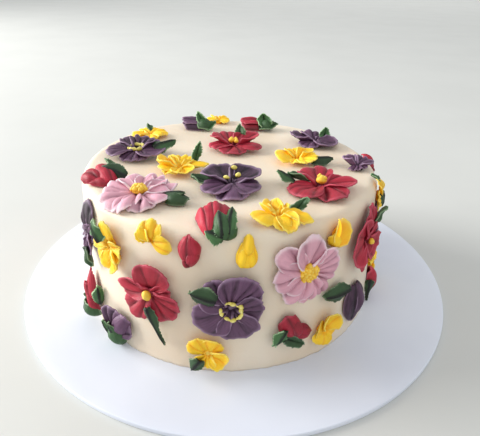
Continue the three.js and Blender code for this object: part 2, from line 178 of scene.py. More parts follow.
def dress(piece, node, material):
    piece.data.materials.clear()
    piece.data.materials.append(material)
    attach(piece, "root")
    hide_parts(node)


# Materials

def addNode(tree, kind, inputs, groupName=None):
    node = tree.nodes.new(kind)
    if groupName:
        node.node_tree = bpy.data.node_groups[groupName]
    for name, value in inputs.items():
        node.inputs[name].default_value = value
    return node


def newGroup(name, inputs, outputs):
    group = bpy.data.node_groups.new(name, "ShaderNodeTree")
    for direction, sockets in (("INPUT", inputs), ("OUTPUT", outputs)):
        for socketName, kind in sockets.items():
            group.interface.new_socket(name=socketName, in_out=direction, socket_type="NodeSocket" + kind)
    return group, group.nodes.new("NodeGroupInput").outputs, group.nodes.new("NodeGroupOutput").inputs


# Fine grain of whipped cream and card: a broad mottle for the colour, and a fine height for the bump
def makeGrainGroup():
    group, entry, result = newGroup("fineGrain", {"Mottle size": "Float", "Grain size": "Float"},
                                    {"Mottle": "Float", "Grain": "Float"})
    coordinates = group.nodes.new("ShaderNodeTexCoord")
    for name, detail, roughness in (("Mottle", 3.0, 0.55), ("Grain", 2.0, 0.6)):
        texture = addNode(group, "ShaderNodeTexNoise", {"Detail": detail, "Roughness": roughness})
        group.links.new(coordinates.outputs["Object"], texture.inputs["Vector"])
        group.links.new(entry[name + " size"], texture.inputs["Scale"])
        group.links.new(texture.outputs["Fac"], result[name])


# Piped buttercream gets painted shade in its folds and hollows, a paler rim on its thin edges that is partly
# a painted highlight, and streaks along the piping. The mark called tone makes each petal a little lighter or
# darker than the next
creamInputs = {"Cream": "Color", "Fold": "Color", "Rim": "Color",
               "Fold strength": "Float", "Rim strength": "Float", "Streak strength": "Float"}
pipedLook = {
    "grain": {"Mottle size": 260.0, "Grain size": 1500.0},
    "mottleInFolds": 0.35,
    "toneRange": 0.22,
    "lowestTone": 0.89,
    "streakHeight": 0.6,
    "grainHeight": 0.5,
    "roughnessRange": 0.25,
    "lowestRoughness": 0.42,
}


def makePipedGroup():
    group, entry, result = newGroup("pipedCream", creamInputs,
                                    {"Color": "Color", "Height": "Float", "Roughness": "Float"})
    link = group.links.new

    def mark(name):
        node = group.nodes.new("ShaderNodeAttribute")
        node.attribute_name = name
        return node.outputs["Fac"]

    def fill(sockets, values):
        for socket, value in zip(sockets, values):
            if isinstance(value, bpy.types.NodeSocket):
                link(value, socket)
            else:
                socket.default_value = value

    def maths(operation, *values):
        node = group.nodes.new("ShaderNodeMath")
        node.operation = operation
        fill(node.inputs, values)
        return node.outputs[0]

    # A Mix node has sockets named A and B for each kind of value, so the colour ones are picked by their type
    def mixColour(share, first, second, blend="MIX"):
        node = group.nodes.new("ShaderNodeMix")
        node.data_type = "RGBA"
        node.blend_type = blend
        colours = [socket for socket in node.inputs if socket.type == "RGBA"]
        fill((node.inputs[0], *colours), (share, first, second))
        return [socket for socket in node.outputs if socket.type == "RGBA"][0]

    # The marks "across" and "along" stretch the streaks along the piping
    piped = group.nodes.new("ShaderNodeCombineXYZ")
    fill(piped.inputs, (mark("across"), mark("along"), maths("MULTIPLY", mark("tone"), 40.0)))
    streaks = addNode(group, "ShaderNodeTexNoise", {"Scale": 1.0, "Detail": 3.0, "Roughness": 0.6})
    link(piped.outputs[0], streaks.inputs["Vector"])
    streak = maths("MULTIPLY", maths("SUBTRACT", streaks.outputs["Fac"], 0.5), entry["Streak strength"])
    grain = addNode(group, "ShaderNodeGroup", pipedLook["grain"], "fineGrain")
    mottle = grain.outputs["Mottle"]

    # Painted shade: the shade mark times its strength darkens folds, hollows and shaded backs towards the
    # shade colour; the streaks and mottle are the cream's own unevenness
    fold = maths("ADD", maths("MULTIPLY", mark("crease"), entry["Fold strength"]), streak)
    fold = maths("ADD", fold, maths("MULTIPLY", maths("SUBTRACT", mottle, 0.5), pipedLook["mottleInFolds"]))
    fold = maths("MAXIMUM", maths("MINIMUM", fold, 1.0), 0.0)
    toned = mixColour(fold, entry["Cream"], entry["Fold"])
    # The paler rim where the mark edge is high is partly the cream's own pale edge and partly a painted
    # highlight
    toned = mixColour(maths("MULTIPLY", mark("edge"), entry["Rim strength"]), toned, entry["Rim"])
    tone = maths("MULTIPLY_ADD", mark("tone"), pipedLook["toneRange"], pipedLook["lowestTone"])
    grey = group.nodes.new("ShaderNodeCombineXYZ")
    fill(grey.inputs, (tone, tone, tone))
    link(mixColour(1.0, toned, grey.outputs[0], "MULTIPLY"), result["Color"])
    height = maths("MULTIPLY", streaks.outputs["Fac"], pipedLook["streakHeight"])
    link(maths("MULTIPLY_ADD", grain.outputs["Grain"], pipedLook["grainHeight"], height), result["Height"])
    roughness = maths("MULTIPLY_ADD", mottle, pipedLook["roughnessRange"], pipedLook["lowestRoughness"])
    link(roughness, result["Roughness"])


# An 8-bit screen colour as the linear values that a shader takes
def screenColour(red, green, blue):
    linear = [channel / 255 / 12.92 if channel <= 10 else ((channel / 255 + 0.055) / 1.055) ** 2.4
              for channel in (red, green, blue)]
    return (*linear, 1.0)


def newMaterial(name, subsurface, subsurfaceScale):
    material = bpy.data.materials.new(name)
    material.use_nodes = True
    shader = material.node_tree.nodes["Principled BSDF"]
    shader.inputs["Subsurface Weight"].default_value = subsurface
    shader.inputs["Subsurface Radius"].default_value = (1.0, 0.7, 0.5)
    shader.inputs["Subsurface Scale"].default_value = subsurfaceScale
    shader.inputs["IOR"].default_value = 1.45
    return material, material.node_tree, shader.inputs


# Values for creamInputs, with the colours as on screen. The second colour is the painted shade of folds and
# hollows, and the third is the pale rim, which is partly a painted highlight
creams = {
    "red": ((174, 34, 56), (62, 4, 8), (218, 98, 118), 0.95, 0.5, 1.0),
    "pink": ((219, 164, 179), (134, 84, 101), (246, 227, 232), 0.85, 0.75, 0.5),
    "purple": ((98, 65, 93), (28, 7, 24), (168, 139, 168), 1.0, 0.6, 1.0),
    "yellow": ((255, 208, 36), (246, 146, 10), (255, 242, 126), 0.7, 0.55, 0.5),
    "green": ((54, 88, 49), (4, 14, 2), (160, 190, 148), 1.15, 0.65, 1.1),
    "centre": ((244, 198, 60), (214, 136, 28), (252, 228, 120), 0.8, 0.4, 0.5),
    "pansyCentre": ((230, 214, 108), (190, 160, 56), (250, 242, 176), 0.7, 0.5, 0.4),
}


def makeCreamMaterial(colour, look):
    material, tree, shader = newMaterial(colour + "Buttercream", 0.08, 0.001)
    values = [screenColour(*value) if isinstance(value, tuple) else value for value in look]
    piped = addNode(tree, "ShaderNodeGroup", dict(zip(creamInputs, values)), "pipedCream").outputs
    bump = addNode(tree, "ShaderNodeBump", {"Strength": 0.6, "Distance": 0.0006})
    tree.links.new(piped["Color"], shader["Base Color"])
    tree.links.new(piped["Roughness"], shader["Roughness"])
    tree.links.new(piped["Height"], bump.inputs["Height"])
    tree.links.new(bump.outputs["Normal"], shader["Normal"])
    return material


# A plain finish: two tones mottled into each other, with fine grain and, on icing, the scraper's marks
def makePlainMaterial(name, look):
    material, tree, shader = newMaterial(name, *look["subsurface"])
    link = tree.links.new
    shader["Roughness"].default_value = look["roughness"]
    grain = addNode(tree, "ShaderNodeGroup", look["grain"], "fineGrain")
    ramp = tree.nodes.new("ShaderNodeValToRGB")
    for index, (position, colour) in enumerate(look["tones"]):
        ramp.color_ramp.elements[index].position = position
        ramp.color_ramp.elements[index].color = screenColour(*colour)
    link(grain.outputs["Mottle"], ramp.inputs["Fac"])
    link(ramp.outputs["Color"], shader["Base Color"])
    height = grain.outputs["Grain"]
    if "scrapes" in look:
        coordinates = tree.nodes.new("ShaderNodeTexCoord")
        stretch = addNode(tree, "ShaderNodeMapping", {"Scale": look["scrapes"]})
        scrapes = addNode(tree, "ShaderNodeTexNoise", {"Scale": 1.0, "Detail": 4.0, "Roughness": 0.6})
        mixed = tree.nodes.new("ShaderNodeMath")
        mixed.operation = "MULTIPLY_ADD"
        mixed.inputs[1].default_value = look["scrapeHeight"]
        link(coordinates.outputs["Object"], stretch.inputs["Vector"])
        link(stretch.outputs["Vector"], scrapes.inputs["Vector"])
        link(scrapes.outputs["Fac"], mixed.inputs[0])
        link(height, mixed.inputs[2])
        height = mixed.outputs[0]
    if "bump" in look:
        bump = addNode(tree, "ShaderNodeBump", look["bump"])
        link(height, bump.inputs["Height"])
        link(bump.outputs["Normal"], shader["Normal"])
    return material


makeGrainGroup()
makePipedGroup()
creamMaterials = {colour: makeCreamMaterial(colour, look) for colour, look in creams.items()}
print("materials made")


# The iced cake: a grid wrapped round it along its outline, with the knife's swells and a wandering edge

def makeCake():
    icing = {
        "subsurface": (0.15, 0.004),
        "roughness": 0.5,
        "tones": ((0.3, (226, 207, 182)), (0.62, (234, 220, 199))),
        "grain": {"Mottle size": 18.0, "Grain size": 700.0},
        "scrapes": (14, 14, 260),  # level round the side, and broad over the top
        "scrapeHeight": 0.5,
        "bump": {"Strength": 0.25, "Distance": 0.0006},
    }
    deselectAll()
    piece = addGrid(cake["columns"], cake["rows"])
    grid = meshPoints(piece)
    direction = (grid[:, 0] + 1) * math.pi
    length = flatRadius + edgeLength + sideHeight
    distance = length * (1 - (grid[:, 1] + 1) / 2)
    # The first and last columns meet, so noise round the cake is read off a circle
    around = np.column_stack((np.cos(direction), np.sin(direction)))
    points = onCake(distance, direction, np.zeros(len(distance)))
    swell = np.array([noise.noise(Vector((24 * x, 24 * y, 15 * z))) for x, y, z in points])
    wander = np.array([noise.noise(Vector((2.2 * x, 2.2 * y, 7.0))) for x, y in around])
    ridge = np.exp(-((distance - flatRadius - edgeLength * 0.35) / cake["edgeBand"]) ** 2)
    foot = smoothStep(length - cake["footBand"], length, distance)
    ragged = np.array([noise.noise(Vector((26 * x, 26 * y, 3.0 + 90 * d)))
                       for (x, y), d in zip(around, distance)])
    offMiddle = smoothStep(0, 12 * mm, distance)  # the pole stays smooth
    raised = cake["unevenness"] * swell * offMiddle + cake["edgeWander"] * ridge * wander
    raised = raised + cake["raggedness"] * foot * ragged
    points = onCake(distance, direction, raised)
    points[distance > length - 0.2 * mm, 2] -= cake["sunk"]
    setPoints(piece, points)
    piece.name = piece.data.name = "cake_icing"
    bpy.ops.object.mode_set(mode="EDIT")
    bpy.ops.mesh.select_all(action="SELECT")
    bpy.ops.mesh.remove_doubles(threshold=0.00005)
    bpy.ops.mesh.normals_make_consistent(inside=False)
    bpy.ops.mesh.select_all(action="DESELECT")
    bpy.ops.mesh.select_non_manifold()
    bpy.ops.mesh.edge_face_add()  # closes the base
    bpy.ops.mesh.select_all(action="SELECT")
    bpy.ops.mesh.normals_make_consistent(inside=False)
    bpy.ops.object.mode_set(mode="OBJECT")
    bpy.ops.object.shade_smooth()
    dress(piece, "cake", makePlainMaterial("smoothIcing", icing))


def makeBoard():
    card = {
        "sides": 256,
        "edgeSoftness": 0.7 * mm,
        "rimWidth": 6 * mm,
        "subsurface": (0.0, 0.001),
        "roughness": 0.38,
        "tones": ((0.35, (216, 221, 233)), (0.6, (225, 230, 241))),
        "grain": {"Mottle size": 9.0, "Grain size": 400.0},
        "bump": {"Strength": 0.08, "Distance": 0.0003},
    }
    deselectAll()
    radius = (boardHigh.x - boardLow.x) / 2
    thickness = boardHigh.z - boardLow.z
    bpy.ops.mesh.primitive_cylinder_add(vertices=card["sides"], radius=radius, depth=thickness,
                                        location=(0, 0, thickness / 2), calc_uvs=False)
    piece = bpy.context.object
    bpy.ops.object.transform_apply(location=True, rotation=False, scale=False)
    piece.name = piece.data.name = "cake_board"
    bpy.ops.object.mode_set(mode="EDIT")
    bpy.ops.mesh.select_all(action="SELECT")
    bpy.ops.mesh.select_mode(type="FACE")
    bpy.ops.object.mode_set(mode="OBJECT")
    for polygon in piece.data.polygons:
        polygon.select = abs(polygon.normal.z) > 0.9
    bpy.ops.object.mode_set(mode="EDIT")
    bpy.ops.mesh.inset(thickness=card["rimWidth"])
    bpy.ops.object.mode_set(mode="OBJECT")
    bevel = piece.modifiers.new("softEdge", "BEVEL")
    bevel.width = card["edgeSoftness"]
    bevel.segments = 4
    bevel.limit_method = "ANGLE"
    bevel.angle_limit = math.radians(50)
    applyModifiers(piece)
    bpy.ops.object.shade_smooth_by_angle(angle=math.radians(40))
    dress(piece, "board", makePlainMaterial("coatedCard", card))


makeCake()
makeBoard()
print("cake and board made")


# Flowers are sheets, with the marks that colour them: petals, the shells of buds, leaves and cups, and beads

def addSheet(part, lay, mirrored):
    sheet = addGrid(part["grid"]["columns"], part["grid"]["rows"])
    grid = meshPoints(sheet)
    across = grid[:, 0] if mirrored else -grid[:, 0]
    (u, v, raised), marks = part["surface"](part, across, (grid[:, 1] + 1) / 2)
    setPoints(sheet, lay(u, v, raised))
    for markName, values in marks.items():
        setMark(sheet, markName, values)
    return sheet


# Round ridges with sharp creases between them, at uneven distances: 0 in a crease and about 1 on a ridge
def pleats(across, count):
    inner = np.arange(1, count) / count * 2 - 1
    inner = inner + randomDraws.uniform(-0.35, 0.35, len(inner)) / count
    creases = np.concatenate(([-1.12], inner, [1.12]))
    tops = randomDraws.uniform(0.7, 1.15, count)
    ridge = np.clip(np.searchsorted(creases, across) - 1, 0, count - 1)
    share = (across - creases[ridge]) / (creases[ridge + 1] - creases[ridge])
    return tops[ridge] * np.sqrt(np.clip(np.sin(math.pi * share), 0, 1))


# Small tears and nicks along a rim, as soft cream leaves the nozzle
def nicks(across):
    knots = np.linspace(-1.05, 1.05, petalGrid["tears"])
    return np.interp(across, knots, randomDraws.uniform(-1, 1, len(knots)))


# folds: how many ridges run out from the flower's middle, depth high; cup: how far its sides stand above
# its middle; tilt: how much higher its left side is; curl: how the rim turns, up if above 0; point: how much
# its rim narrows to a tip; scallop: how far its ridges reach past its creases; wave: of its rim; fade: how
# much its ridges flatten towards the rim
styleValues = ("folds", "depth", "cup", "tilt", "curl", "point", "scallop", "wave", "fade")
petalStyles = {
    "pleated": (5, 2.3, 0.2, 1.0, -30, 0, 1.0, 0.6, 0.35),
    "ribbed": (4, 1.6, 0.0, 0.8, -35, 0, 0.5, 0.7, 0.2),
    "smooth": (3, 0.8, 1.4, 0.9, 15, 0, 0.3, 0.9, 0.6),
    "pinched": (4, 3.0, 0.3, 0.6, -50, 0.25, 1.5, 0.6, 0.1),
    "scoop": (2, 0.9, 2.0, 0.5, 35, 0.05, 0.2, 0.5, 0.5),
    "rolled": (2, 0.6, -3.0, 0.4, -45, 0, 0, 0.3, 0.4),
    "pointed": (3, 1.3, 0.6, 0.5, -15, 0.7, 0.3, 0.4, 0.3),
    "looped": (3, 3.0, 0.4, 0.8, 55, 0, 1.2, 0.6, 0.0),
}
petalGrid = {
    "columns": 48,
    "rows": 22,
    "thickness": 1.5,
    "thinShare": 0.5,
    "offset": -1,
    "root": 0.5,
    "fullness": 1.12,  # how much wider a petal is than its CAD wedge
    "curlStart": 0.62,
    "ragged": 0.4,
    "tears": 34,
}


# A petal is its direction, length, width, the raise of its tip, its style and what differs from that
def petal(direction, length, width, tip, style="ribbed", **changes):
    return {"piece": "petals", "surface": petalSurface, "grid": petalGrid, "direction": direction,
            "length": length, "width": width, "tip": tip, "origin": (0, 0), "shade": 0,
            **dict(zip(styleValues, petalStyles[style])), **changes}


# How far a petal reaches at an angle from its own direction: an oval, as in the model
def ovalReach(length, width, away):
    centre = 0.56 * length
    halfLength = 0.44 * length
    cosine = np.cos(away) / halfLength
    sine = np.sin(away) / (width / 2)
    along = cosine * centre / halfLength
    square = cosine ** 2 + sine ** 2
    inside = np.maximum(along ** 2 - square * ((centre / halfLength) ** 2 - 1), 0)
    return (along + np.sqrt(inside)) / square


def petalSurface(petal, across, along):
    tone = petal.get("tone", randomDraws.uniform())
    phase = randomDraws.uniform(0, 2 * math.pi, 4)
    length = petal["length"]
    shoulder = petal["shoulder"]
    root = petalGrid["root"]
    curlStart = petalGrid["curlStart"]
    fullWidth = petal["width"] * petalGrid["fullness"]
    # just inside the tangents from the flower's middle to the oval
    spread = math.atan(fullWidth / 2 / (0.44 * length * 0.787)) * 0.99
    across = 0.6 * across + 0.4 * np.sin(math.pi / 2 * across)
    sway = across + 0.1 * np.sin(math.pi * along + phase[3]) * (1 - across ** 2)
    pleat = pleats(sway, petal["folds"])
    away = spread * across
    narrowing = 1 - petal["point"] * 0.5 * (1 - (1 - np.abs(across)) ** 1.2)
    wobble = 0.5 * np.sin(2.1 * across + phase[0]) + 0.35 * np.sin(5.3 * across + phase[1])
    wobble = wobble + 0.3 * np.sin(12.7 * across + phase[3])
    torn = smoothStep(0.86, 1, along) * petalGrid["ragged"]
    reach = ovalReach(length, fullWidth, away) * narrowing
    reach = reach + petal["scallop"] * (pleat - 0.8) + 0.45 * wobble * petal["wave"]
    reach = reach + nicks(across) * torn
    span = np.maximum(reach - root, 1)
    # the last part of the petal turns along an arc
    curl = math.radians(petal["curl"]) * (1 + 0.25 * np.sin(3.1 * across + phase[2]))
    turned = np.clip((along - curlStart) / (1 - curlStart), 0, 1)
    turn = np.where(np.abs(curl) < 1e-3, 1e-3, curl)
    out = root + span * (np.minimum(along, curlStart) + (1 - curlStart) * np.sin(turn * turned) / turn)
    envelope = smoothStep(0.02, 0.5, along)
    foldDepth = 1.2 * petal["depth"] * envelope * (1 - petal["fade"] * along ** 2)
    raised = shoulder + (petal["tip"] - shoulder) * along ** 1.5
    raised = raised - (shoulder - 1.2) * (1 - smoothStep(0, 0.3, along))
    raised = raised + span * (1 - curlStart) * (1 - np.cos(turn * turned)) / turn
    raised = raised + petal["cup"] * (across ** 2 - 0.3) * envelope
    raised = raised + petal["tilt"] * across * envelope
    raised = raised + foldDepth * (pleat - 0.75)
    raised = raised + petal["wave"] * wobble * smoothStep(0.5, 1, along) + nicks(across) * torn * 0.6
    angle = math.radians(petal["direction"]) + away
    u = petal["origin"][0] + out * np.cos(angle)
    v = petal["origin"][1] + out * np.sin(angle)
    # Painted shade: darker in the pleats' creases, towards the root where the flower's hollow is, and by the
    # petal's shade all over. The edge mark gives the rim its pale edge, partly a painted highlight
    creaseShade = np.clip(1 - pleat, 0, 1) ** 1.4 * min(1, 0.4 + petal["depth"] / 2)
    marks = {
        "crease": creaseShade * envelope + 0.8 * (1 - smoothStep(0.03, 0.4, along)) + petal["shade"],
        "edge": np.maximum(smoothStep(0.88, 1, along), smoothStep(0.95, 1, np.abs(across)) * envelope),
        "thin": smoothStep(0.3, 1, along),
        "tone": tone,
        "across": away * 16,
        "along": along * length * 0.1,
    }
    return (u, v, np.maximum(raised, 0.5)), marks


shellGrid = {"columns": 40, "rows": 30}


# A shell is half a spindle from start to end, of a width and rise, that wraps round by some degrees to each
# side and is rolled about its own length. heel and mouth are the shares of the width at its ends, middle is
# where it is widest, tip is how blunt it closes, and rounding is how far its end bows forward.
def shell(start, end, width, rise, wrap, **changes):
    return {"piece": "petals", "surface": shellSurface, "grid": shellGrid, "start": start, "end": end,
            "width": width, "rise": rise, "wrap": wrap, "roll": 0, "heel": 0.35, "mouth": 0.2, "middle": 0.45,
            "tip": 0.7, "rounding": 1, "folds": 1, "depth": 0.5, "shade": 0, **changes}


# A green shell, in which a bud sits
def cup(*values, **changes):
    return {**shell(*values, **changes), "piece": "leaves"}


def shellSurface(shell, across, along):
    start = np.array(shell["start"], float)
    chord = np.array(shell["end"], float) - start
    side = np.array([-chord[1], chord[0], 0.0])
    side /= np.linalg.norm(side)
    tone = shell.get("tone", randomDraws.uniform())
    phase = randomDraws.uniform(0, 2 * math.pi, 3)
    heel, mouth, middle = shell["heel"], shell["mouth"], shell["middle"]
    pleat = pleats(across, shell["folds"])
    bowed = along * (1 - 0.16 * across ** 2 * shell["rounding"])
    below = np.sin(math.pi / 2 * np.clip(bowed / middle, 0, 1)) ** 0.8
    above = np.cos(math.pi / 2 * np.clip((bowed - middle) / (1 - middle), 0, 1)) ** shell["tip"]
    widest = np.where(bowed < middle, heel + (1 - heel) * below, mouth + (1 - mouth) * above)
    half = shell["width"] / 2 * widest
    angle = math.radians(shell["wrap"]) * across + math.radians(shell["roll"])
    rise = 2 * shell["rise"] / shell["width"]
    grow = 1 + 0.06 * np.abs(across) ** 4 + 0.03 * np.sin(4 * along + phase[0])
    grow = grow + 0.02 * np.sin(11 * along + 3 * across + phase[1]) + nicks(across + 0.3 * along) * 0.012
    sideways = half * np.sin(angle) * grow
    upward = half * rise * np.cos(angle) * grow + shell["depth"] * (pleat - 0.8) * smoothStep(0, 0.4, along)
    length = bowed + nicks(across) * smoothStep(0.85, 1, along) * 0.025
    u, v, raised = (start[axis] + chord[axis] * length + side[axis] * sideways for axis in range(3))
    # Painted shade in the folds' creases and, by the shell's shade, over the whole shell; the paler edges and
    # mouth are partly a painted highlight
    marks = {
        "crease": np.clip(1 - pleat, 0, 1) ** 1.5 + shell["shade"],
        "edge": np.maximum(smoothStep(0.9, 1, along), smoothStep(0.88, 1, np.abs(across))),
        "thin": np.maximum(smoothStep(0.5, 1, along), np.abs(across) ** 3),
        "tone": tone,
        "across": across * shell["width"] * 0.6,
        "along": along * np.linalg.norm(chord) * 0.12,
    }
    return (u, v, np.maximum(raised + upward, 0.1)), marks


leafGrid = {"columns": 18, "rows": 26, "thickness": 1.5, "thinShare": 0.45, "offset": 0, "ragged": 0.5}
# Half widths of a leaf along its length: its places, and the shares there for a leaf with a long thin tail
tailPlaces = (0, 0.12, 0.25, 0.4, 0.55, 0.7, 1)
tailShares = (0.35, 0.85, 1, 0.75, 0.36, 0.2, 0.08)


# A leaf is a sheet folded along its vein from start to end. facing turns it to a direction, lean tips it
# sideways, ripple is of its edges, and split is the notch in its tip as a share of its length.
def leaf(start, end, width, **changes):
    return {"piece": "leaves", "surface": leafSurface, "grid": leafGrid, "start": start, "end": end,
            "width": width, "lean": 0, "fold": 0.3, "ripple": 0.09, "split": 0, "tail": False, **changes}


def leafSurface(leaf, across, along):
    start = np.array(leaf["start"], float)
    chord = np.array(leaf["end"], float) - start
    if "facing" in leaf:
        sideways = math.radians(leaf["facing"] + 180)
    else:
        sideways = math.atan2(chord[1], chord[0]) + math.pi / 2
    lean = math.radians(leaf["lean"])
    level = math.cos(lean)
    side = np.array([math.cos(sideways) * level, math.sin(sideways) * level, math.sin(lean)])
    face = np.cross(chord, side)
    face /= np.linalg.norm(face)
    tone = leaf.get("tone", randomDraws.uniform(-1.6, 2.4))
    phase = randomDraws.uniform(0, 2 * math.pi, 3)
    tear = randomDraws.uniform(-1, 1, (2, leafGrid["rows"] + 1))
    width = leaf["width"]
    edge = np.abs(across)
    blunt = 0.03 + 0.9 * leaf["split"]
    if leaf["tail"]:
        half = np.interp(along, tailPlaces, tailShares)
    else:
        half = np.interp(along, (0, 0.15, 0.34, 0.55, 0.75, 0.9, 1),
                         (0.5, 0.85, 1, 0.92, 0.66 + blunt / 3, 0.32 + blunt / 2, blunt))
    row = np.rint(along * leafGrid["rows"]).astype(int)
    torn = np.where(across > 0, tear[0][row], tear[1][row]) * leafGrid["ragged"] * edge ** 4
    offset = (half * width / 2 * (1 + 0.08 * np.sin(9 * along + phase[0])) + torn) * across
    rise = width * leaf["fold"] * (edge ** 0.8 - 0.55)
    rise = rise * np.interp(along, (0, 0.3, 0.8, 1), (0.6, 1, 0.8, 0.4))
    rise = rise + width * leaf["ripple"] * np.sin(8.5 * along + phase[1] + 1.3 * across) * edge ** 1.5
    rise = rise + width * 0.09 * np.sin(2.5 * along + phase[2]) * across
    length = along * (1 - leaf["split"] * (1 - edge) ** 1.5)
    u, v, raised = (start[axis] + chord[axis] * length + side[axis] * offset + face[axis] * rise
                    for axis in range(3))
    # Painted shade along the vein and at the leaf's base; the paler edges are partly a painted highlight
    marks = {
        "crease": np.clip(1 - edge * 3, 0, 1) + 0.5 * (1 - smoothStep(0, 0.25, along)),
        "edge": np.maximum(smoothStep(0.86, 1, edge), smoothStep(0.95, 1, along)),
        "thin": np.maximum(smoothStep(0.6, 1, edge), smoothStep(0.7, 1, along)),
        "tone": tone,
        "across": across * width * 0.5,
        "along": along * np.linalg.norm(chord) * 0.12,
    }
    return (u, v, np.maximum(raised, 0.3)), marks


# Centres are piped beads. The bead is modelled once, and each copy has its own mesh
beadLook = {"subdivisions": 3, "peak": 0.3, "lumps": 0.12}


def modelBead():
    deselectAll()
    bpy.ops.mesh.primitive_ico_sphere_add(subdivisions=beadLook["subdivisions"], radius=1, calc_uvs=False)
    bead = bpy.context.object
    points = meshPoints(bead)
    upper = np.clip(points[:, 2], 0, 1)
    points *= (1 - 0.25 * upper ** 2)[:, None] * np.array([1, 1, 0]) + np.array([0, 0, 1])
    points[:, 2] += beadLook["peak"] * upper ** 4
    lumps = np.array([noise.noise(Vector(point) * 1.7) for point in points])
    points *= (1 + beadLook["lumps"] * lumps)[:, None]
    setPoints(bead, points)
    bead.name = bead.data.name = "bead"
    return bead


beadModel = modelBead()


# A bead with its middle, its half length, half width and half height, turned to a direction
def addBead(lay, middle, sizes, direction, shade=0):
    bead = beadModel.copy()
    bead.data = beadModel.data.copy()
    bpy.context.scene.collection.objects.link(bead)
    points = meshPoints(bead)
    turn = math.radians(direction)
    lengthwise, crosswise, upward = (points[:, axis] * sizes[axis] for axis in range(3))
    u = middle[0] + lengthwise * math.cos(turn) - crosswise * math.sin(turn)
    v = middle[1] + lengthwise * math.sin(turn) + crosswise * math.cos(turn)
    setPoints(bead, lay(u, v, middle[2] + upward))
    # Painted shade under each bead and, by shade, over all of it; its paler top is a painted highlight
    setMark(bead, "crease", np.clip(0.5 - points[:, 2], 0, 1) + shade)
    setMark(bead, "edge", np.clip(points[:, 2] - 0.7, 0, 1) * 2)
    setMark(bead, "tone", randomDraws.uniform())
    setMark(bead, "across", u * 0.4)
    setMark(bead, "along", v * 0.4)
    return bead


def centrePart(makeBeads, **values):
    return {"piece": "centre", "makeBeads": makeBeads, **values}


def dropBeads(lay, drop):
    return [addBead(lay, *drop["values"])]


# A smooth drop, with its middle, sizes and direction
def drop(*values):
    return centrePart(dropBeads, values=values)


# A low mound of beads, as in the open blossoms
def moundBeads(lay, centre):
    radius, height, base, count = centre["radius"], centre["height"], centre["base"], centre["count"]
    beads = [addBead(lay, (0, 0, base), (radius * 0.9, radius * 0.9, height * 0.75), 0)]
    for index in range(count):
        angle = index * 137.5
        out = radius * 0.86 * math.sqrt((index + 0.4) / count)
        up = base + height * (0.95 - 0.6 * (out / radius) ** 2)
        jitter = randomDraws.uniform(-0.25, 0.25, 2)
        size = centre["bead"] * randomDraws.uniform(0.8, 1.15)
        across = out * math.cos(math.radians(angle)) + jitter[0]
        middle = (across, out * math.sin(math.radians(angle)) + jitter[1], up - size * 0.5)
        turn = angle + randomDraws.uniform(-60, 60)
        beads.append(addBead(lay, middle, (size * 1.15, size * 0.9, size), turn))
    return beads


def mound(**values):
    return centrePart(moundBeads, **values)


# A broken ring of short strokes round the dark hollow of a pansy
ringLook = {"radius": 5.2, "bead": 1.15, "pace": 15}


def ringBeads(lay, centre):
    beads = []
    for startAngle, endAngle in centre["arcs"]:
        count = max(2, round((endAngle - startAngle) / ringLook["pace"]))
        for index in range(count):
            angle = startAngle + (endAngle - startAngle) * (index + 0.5) / count + randomDraws.uniform(-3, 3)
            out = ringLook["radius"] * randomDraws.uniform(0.86, 1.1)
            size = ringLook["bead"] * randomDraws.uniform(0.6, 1.2)
            turn = math.radians(angle)
            middle = (out * math.cos(turn), out * math.sin(turn), centre["base"])
            beads.append(addBead(lay, middle, (size * 1.35, size * 0.85, size), angle + 90))
    return beads


def ring(base, *arcs):
    return centrePart(ringBeads, base=base, arcs=arcs)
